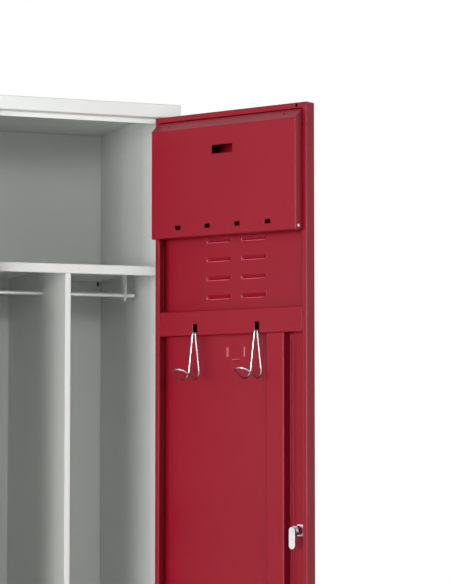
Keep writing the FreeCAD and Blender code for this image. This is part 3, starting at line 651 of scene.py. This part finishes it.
@dataclass
class TrayFasteners:
    """Cross-head screws in the tray's side walls and rivets through its bevel."""

    door: DoorPlane
    near: float = 0.009
    far: float = 0.369
    screw_inward: float = 0.040
    screw_height: float = 1.531
    screw_radius: float = 0.0035
    screw_crown: float = 0.0014
    screw_flatness: int = 4
    screw_rings: int = 26
    screw_sides: int = 72
    screw_middle: float = 0.02
    cross_half: float = 0.0022
    cross_width: float = 0.00045
    cross_depth: float = 0.0007
    rivet_inset: float = 0.037
    rivet_inward: float = 0.0375
    rivet_height: float = 1.748
    rivet_radius: float = 0.003
    rivet_crown: float = 0.0012
    rivet_sides: int = 32
    bevel_depth: float = 0.023
    bevel_height: float = 0.020

    def screw_points(self, centre: Array, axis: Array) -> Array:
        """Shape a screw's head as a dome with a cross sunk in it.

        The height is the crown times one less the fourth power of the share of the radius, and it
        is less by the cross's depth where a point lies in either bar of the cross.

        Args:
            centre: The middle of the head's foot.
            axis: The way that the head stands out.

        Returns:
            A grid of points for grid_object.
        """
        radius = np.linspace(1.0, self.screw_middle, self.screw_rings)[:, None] * self.screw_radius
        angle = round_angles(self.screw_sides)[None, :]
        x = radius * np.cos(angle)
        y = radius * np.sin(angle)
        level_bar = (np.abs(y) < self.cross_width) & (np.abs(x) < self.cross_half)
        upright_bar = (np.abs(x) < self.cross_width) & (np.abs(y) < self.cross_half)
        crown = self.screw_crown * (1.0 - (radius / self.screw_radius) ** self.screw_flatness)
        height = crown - np.where(level_bar | upright_bar, self.cross_depth, 0.0)
        across = unit(np.cross(axis, UP))
        over = np.cross(axis, across)
        return centre + axis * height[..., None] + across * x[..., None] + over * y[..., None]

    def screws(self, shop: Workshop) -> None:
        """Make both screws, in place of their solids.

        Args:
            shop: Dresses the pieces.
        """
        outward = {"hinge": (self.near, -self.door.across), "free": (self.far, self.door.across)}
        for name, (across, axis) in outward.items():
            centre = self.door.at(across, self.screw_inward, self.screw_height)
            piece = grid_object(f"tray_screw_{name}_side", self.screw_points(centre, axis))
            shop.fit(piece, "fastener_steel", "door", "tray_screws")

    def rivets(self, shop: Workshop) -> None:
        """Make both rivets square to the bevel, in place of their solids.

        Args:
            shop: Dresses the pieces.
        """
        slope = unit(self.door.inward * self.bevel_height + UP * self.bevel_depth)
        places = {"hinge": self.near + self.rivet_inset, "free": self.far - self.rivet_inset}
        for name, across in places.items():
            centre = self.door.at(across, self.rivet_inward, self.rivet_height)
            dome = turned(crowned(self.rivet_radius, self.rivet_crown), centre, slope, self.rivet_sides)
            piece = grid_object(f"tray_rivet_{name}_side", dome)
            shop.fit(piece, "door_paint", "door", "tray_rivets")

    def build(self, shop: Workshop) -> None:
        """Make the screws, then the rivets."""
        self.screws(shop)
        self.rivets(shop)


@dataclass
class CamLock:
    """The lock's plated body, turned with a rolled rim."""

    door: DoorPlane
    height: float = 0.95
    face_radius: float = 0.012
    face_height: float = 0.0025
    body_radius: float = 0.009
    bore_radius: float = 0.00605
    bore_edge: float = 0.002
    dish: float = 0.0008
    body_end: float = 0.022
    rim_steps: int = 7
    sides: int = 48
    sharp_from: float = 40.0

    def profile(self) -> Array:
        """Outline the body from the bore's inner end, out over the rolled rim and back along it.

        The rim is a quarter round: its radius grows with the cosine and it stands out by the sine.

        Returns:
            Rows of radius and height for turned, where heights grow towards the inside of the door.
        """
        angle = np.linspace(math.pi / 2, 0.0, self.rim_steps)
        radius = self.face_radius - self.face_height + self.face_height * np.cos(angle)
        rim = np.stack([radius, -self.face_height * np.sin(angle)], axis=1)
        bore = np.array([[self.bore_radius, self.body_end], [self.bore_radius, -self.bore_edge]])
        dish = np.array([[self.bore_radius + self.dish, -self.face_height]])
        outside = np.array([[self.body_radius, 0.0], [self.body_radius, self.body_end]])
        return np.vstack([bore, dish, rim, outside])

    def build(self, shop: Workshop) -> None:
        """Turn the body and close its skin on itself, both round the axis and along the outline.

        Args:
            shop: Dresses the piece.
        """
        centre = self.door.at(self.door.lock_from_hinge_edge, 0.0, self.height)
        points = turned(self.profile(), centre, self.door.inward, self.sides)
        index = np.arange(points.shape[0] * self.sides).reshape(-1, self.sides)
        below = np.roll(index, -1, axis=0)
        quads = np.stack([index, below, np.roll(below, -1, axis=1), np.roll(index, -1, axis=1)], axis=-1)
        faces = quads.reshape(-1, 4).tolist()
        piece = mesh_object("lock_body", points.reshape(-1, 3), faces, self.sharp_from)
        shop.fit(piece, "lock_chrome", "door", "lock_barrel")


@dataclass
class Bumpers:
    """Soft round buttons on the free flange, each with a rolled rim and a hollow middle."""

    door: DoorPlane
    across: float = 0.373
    face: float = 0.026
    radius: float = 0.0038
    crown: float = 0.0017
    hollow: float = 0.0016
    floor: float = 0.0001
    middle: float = 0.1
    rim_steps: int = 17
    sides: int = 32
    heights: tuple[float, float] = (1.728, 0.152)

    def profile(self) -> Array:
        """Outline a button from its foot over the half-round rim to the floor of the hollow.

        The rim's radius is its middle plus half its width times the cosine, and its height is the
        crown times the sine.

        Returns:
            Rows of radius and height for turned.
        """
        half = (self.radius - self.hollow) / 2
        angle = np.linspace(0.0, math.pi, self.rim_steps)
        rim = np.stack([self.hollow + half + half * np.cos(angle), self.crown * np.sin(angle)], axis=1)
        rim[-1, 1] = self.floor
        return np.concatenate([rim, [[self.hollow * self.middle, self.floor]]])

    def build(self, shop: Workshop) -> None:
        """Turn one button for each place.

        Args:
            shop: Dresses the pieces.
        """
        for name, height in zip(("upper", "lower"), self.heights):
            centre = self.door.at(self.across, self.face, height)
            points = turned(self.profile(), centre, self.door.inward, self.sides)
            piece = grid_object(f"{name}_bumper", points)
            shop.fit(piece, "bumper_rubber", "door", "door_bumpers")


@dataclass
class PressedLips:
    """Lips along the louvres' slits and the card's lances, on the door's inner face, painted pale as highlights.
    """

    door: DoorPlane
    radius: float = 0.0009
    inner_face: float = 0.0008
    middle: float = 0.187
    pitch: float = 0.0873
    half_length: float = 0.0285
    upper_slit: float = 1.513
    lower_slit: float = 0.26
    row_pitch: float = 0.0375
    rows: int = 4
    card_half: float = 0.02
    card_foot: float = 1.284
    lance_length: float = 0.023
    bottom_slit: float = 1.2805
    bottom_half: float = 0.0095
    end_from_middle: float = 0.0297
    end_height: float = 0.0045
    steps: int = 15
    sides: int = 10
    tip: float = 0.04

    def bead(self, start: Array, end: Array) -> Array:
        """Run a round bead that tapers to both ends.

        Points gather at the ends by a cosine, and the width follows the root of a sine.

        Args:
            start: One end of the bead's middle line.
            end: The other end.

        Returns:
            A grid of points for grid_object.
        """
        along = np.linspace(0.0, 1.0, self.steps)[:, None]
        swell = np.sqrt(np.sin(np.linspace(self.tip, math.pi - self.tip, self.steps)))
        route = start + (end - start) * (0.5 - 0.5 * np.cos(along * math.pi))
        ring = tube(route, self.radius, self.sides, self.door.inward)
        return route[:, None, :] + (ring - route[:, None, :]) * swell[:, None, None]

    def level(self, across: float, half: float, height: float) -> Array:
        """A bead along a level slit."""
        return self.bead(self.door.at(across - half, self.inner_face, height),
                         self.door.at(across + half, self.inner_face, height))

    def upright(self, across: float, foot: float, length: float) -> Array:
        """A bead along an upright edge."""
        return self.bead(self.door.at(across, self.inner_face, foot),
                         self.door.at(across, self.inner_face, foot + length))

    def build(self, shop: Workshop) -> None:
        """Run a bead along every slit.

        Args:
            shop: Dresses the piece.
        """
        step = np.arange(self.rows) * self.row_pitch
        heights = np.concatenate([self.upper_slit - step, self.lower_slit + step])
        columns = (self.middle - self.pitch / 2, self.middle + self.pitch / 2)
        beads = [self.level(across, self.half_length, height) for across in columns for height in heights]
        beads += [self.upright(across - self.end_from_middle, height, self.end_height)
                  for across in columns for height in heights]
        beads += [self.upright(self.middle + side * self.card_half, self.card_foot, self.lance_length)
                  for side in (-1.0, 1.0)]
        beads.append(self.level(self.middle, self.bottom_half, self.bottom_slit))
        piece = grid_object("pressed_lips", *beads)
        # The pale paint is a painted highlight along the slits.
        shop.fit(piece, "door_paint", "door", finish=LIP_HIGHLIGHT_PAINT)


@dataclass
class SlotShadePlates:
    """Dark plates in the two slots of the rear corners, under the shelf, as painted shade that darkens the slots.
    """

    from_middle: float = 0.2035
    back: float = 0.2489
    front: float = 0.2474
    height: float = 1.469
    half_width: float = 0.0023
    half_height: float = 0.0048
    sides: int = 32
    widths: tuple[float, ...] = (1.0, 1.0, 0.93, 0.8, 0.4)
    depths: tuple[float, ...] = (0.0, 0.7, 0.93, 1.0, 1.0)

    def grid(self, side: float) -> Array:
        """Shape a rounded plate from rings that draw in towards the front.

        On each ring the fourth powers of the shares of half the width and half the height add up
        to one, so the roots of the cosine and the sine, with their signs, give its points.

        Args:
            side: Minus one for the left corner and one for the right.

        Returns:
            A grid of points for grid_object.
        """
        angle = round_angles(self.sides)
        cos, sin = np.cos(angle), np.sin(angle)
        width = np.array(self.widths)[:, None]
        x = side * self.from_middle + width * np.sign(cos) * np.sqrt(np.abs(cos)) * self.half_width
        y = self.back + (self.front - self.back) * np.array(self.depths)[:, None]
        z = self.height + width * np.sign(sin) * np.sqrt(np.abs(sin)) * self.half_height
        return np.stack(np.broadcast_arrays(x, y, z), axis=-1)

    def build(self, shop: Workshop) -> None:
        """Make both dark plates of painted shade."""
        piece = grid_object("slot_shade_plates", self.grid(-1.0), self.grid(1.0))
        # Painted shade: dark plastic fills the slots so that they read as shaded hollows.
        shop.fit(piece, "bush_plastic", "carcass")


@dataclass(frozen=True)
class Lamp:
    """A soft lamp, placed by its turn to the left of the front and its lift off the level."""

    name: str
    watts: float
    size: float
    turn: float
    lift: float
    distance: float = 6.0

    def offset(self) -> Array:
        """Work out the lamp's place from what it is aimed at.

        The level part is the sine and cosine of the turn times the cosine of the lift, and the
        height is the sine of the lift, all times the distance.

        Returns:
            The way from the aim to the lamp.
        """
        turn = math.radians(self.turn)
        lift = math.radians(self.lift)
        level = np.array([-math.sin(turn), -math.cos(turn), 0.0]) * math.cos(lift)
        return (level + UP * math.sin(lift)) * self.distance


@dataclass
class Studio:
    """Floor, soft lamps, white surround and the camera."""

    view_from: Point = (-1.4387, -4.6411, 1.1034)
    view_turn: float = 21.717
    view_tilt: float = 3.869
    view_end: float = 60.0
    lens: float = 143.86
    sensor: float = 36.0
    floor_half: float = 9.0
    floor_colour: Colour = (0.8, 0.8, 0.8)
    floor_roughness: float = 0.9
    floor_shine: float = 0.1
    floor_share: float = 0.55
    fade_from: float = 1.5
    fade_to: float = 7.0
    ambient: float = 0.12
    aim: Point = (0.2, -0.4, 1.4)
    lamps: tuple[Lamp, ...] = (
        Lamp("front", 58.0, 1.0, 10.0, 8.0),
        Lamp("key", 132.0, 1.5, 47.0, -1.0),
        Lamp("left_near", 66.0, 1.5, 58.0, 0.0),
        Lamp("left", 110.0, 1.5, 70.0, 0.0),
        Lamp("fill", 18.0, 1.5, -18.0, 3.0),
        Lamp("right", 66.0, 1.5, -47.0, 3.0),
        Lamp("rear_left", 90.0, 2.0, 160.0, 24.0),
        Lamp("rear_right", 135.0, 2.0, -122.0, 38.0),
    )

    def camera(self) -> None:
        """Set the camera at the photographed viewing angle."""
        data = bpy.data.cameras.new("camera")
        data.lens = self.lens
        data.sensor_width = self.sensor
        data.clip_end = self.view_end
        eye = bpy.data.objects.new("camera", data)
        eye.location = self.view_from
        eye.rotation_euler = (math.radians(90.0 + self.view_tilt), 0.0, -math.radians(self.view_turn))
        bpy.context.scene.collection.objects.link(eye)
        bpy.context.scene.camera = eye

    @staticmethod
    def seen(shader: Shader) -> Value:
        """Tell the rays that look from the rays that light.

        Args:
            shader: The shader that asks.

        Returns:
            One for a ray from the eye, a mirror or glass, and nought for a ray of light.
        """
        eye, mirror, glass = (shader.node("ShaderNodeLightPath", {}, {}, f"Is {kind} Ray")
                              for kind in ("Camera", "Glossy", "Transmission"))
        return eye.larger(mirror).larger(glass)

    def floor_material(self) -> bpy.types.Material:
        """Make a pale floor whose light fades to the white of the surround far from the locker.

        Returns:
            The material.
        """
        pale = bpy.data.materials.new("pale_floor")
        pale.use_nodes = True
        shader = Shader(pale.node_tree)
        lit = shader.node("ShaderNodeBsdfPrincipled", {}, {
            "Base Color": (*self.floor_colour, 1.0),
            "Roughness": self.floor_roughness,
            "Specular IOR Level": self.floor_shine,
        })
        glow = shader.node("ShaderNodeEmission", {}, {"Color": WHITE, "Strength": 1.0})
        away = shader.node("ShaderNodeVectorMath", {"operation": "LENGTH"}, {0: shader.place()}, "Value")
        fade = shader.node("ShaderNodeMapRange", {"interpolation_type": "SMOOTHSTEP"}, {
            "Value": away,
            "From Min": self.fade_from,
            "From Max": self.fade_to,
            "To Min": self.floor_share,
        })
        skin = shader.node("ShaderNodeMixShader", {}, {0: self.seen(shader) * fade, 1: lit, 2: glow})
        shader.node("ShaderNodeOutputMaterial", {}, {"Surface": skin})
        return pale

    def floor(self) -> None:
        """Lay a wide floor that keeps the locker's shadow."""
        half = self.floor_half
        corners = np.array([[-half, -half, 0.0], [half, -half, 0.0], [half, half, 0.0], [-half, half, 0.0]])
        floor = mesh_object("floor", corners, [[0, 1, 2, 3]])
        floor.data.materials.append(self.floor_material())

    def hang(self, lamp: Lamp) -> None:
        """Add one square soft lamp that faces the locker.

        Args:
            lamp: The lamp's power, size and place.
        """
        data = bpy.data.lights.new(lamp.name, "AREA")
        data.energy = lamp.watts
        data.size = lamp.size
        hung = bpy.data.objects.new(lamp.name, data)
        bpy.context.scene.collection.objects.link(hung)
        away = Vector(lamp.offset())
        hung.location = Vector(self.aim) + away
        hung.rotation_mode = "QUATERNION"
        hung.rotation_quaternion = away.to_track_quat("Z", "Y")

    def surround(self) -> None:
        """Make an even white surround, full white where it is seen and softer as light."""
        world = bpy.data.worlds.new("surround")
        world.use_nodes = True
        bpy.context.scene.world = world
        shader = Shader(world.node_tree)
        strength = self.ambient + self.seen(shader) * (1.0 - self.ambient)
        glow = shader.node("ShaderNodeBackground", {}, {"Color": WHITE, "Strength": strength})
        shader.node("ShaderNodeOutputWorld", {}, {"Surface": glow})

    def build(self) -> None:
        """Set everything up."""
        self.camera()
        self.floor()
        self.surround()
        for lamp in self.lamps:
            self.hang(lamp)
        bpy.context.scene.view_settings.view_transform = "Standard"


def main() -> None:
    """Build and dress the locker, piece by piece."""
    logging.basicConfig(level=logging.INFO, format="%(name)s: %(message)s")
    shop = Workshop()
    shop.dress_solids()
    door = DoorPlane()
    for side in ("left", "right"):
        WireHook(side, door).build(shop)
    TrayFasteners(door).build(shop)
    CamLock(door).build(shop)
    Bumpers(door).build(shop)
    PressedLips(door).build(shop)
    SlotShadePlates().build(shop)
    Studio().build()


if __name__ == "__main__":
    main()
